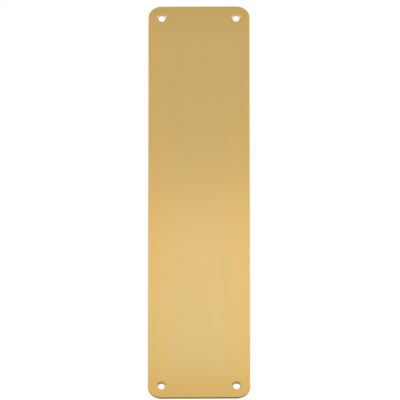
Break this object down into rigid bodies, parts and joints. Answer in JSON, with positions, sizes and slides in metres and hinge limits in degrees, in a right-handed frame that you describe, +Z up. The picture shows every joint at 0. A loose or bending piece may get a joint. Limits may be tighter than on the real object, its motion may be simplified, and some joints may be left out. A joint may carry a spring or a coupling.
{
  "type": "door finger plate",
  "caption": "Flat upright rectangular plate of satin brass with rounded corners and a countersunk screw hole in each corner, fixed to a door to keep finger marks off it.",
  "frame": {"origin": "centre of the back face, the face that lies on the door", "axes": "+Z up the length of the plate, +X across its width, +Y out of the back face into the door, so that the face that is seen and touched looks along -Y"},
  "size_m": [0.075, 0.0015, 0.35],
  "materials": {
    "satin_brass": "satin brass, brushed finely along the length, with a thin clear lacquer"
  },
  "bodies": {
    "root": {"finger_plate": "satin_brass"}
  },
  "joints": []
}
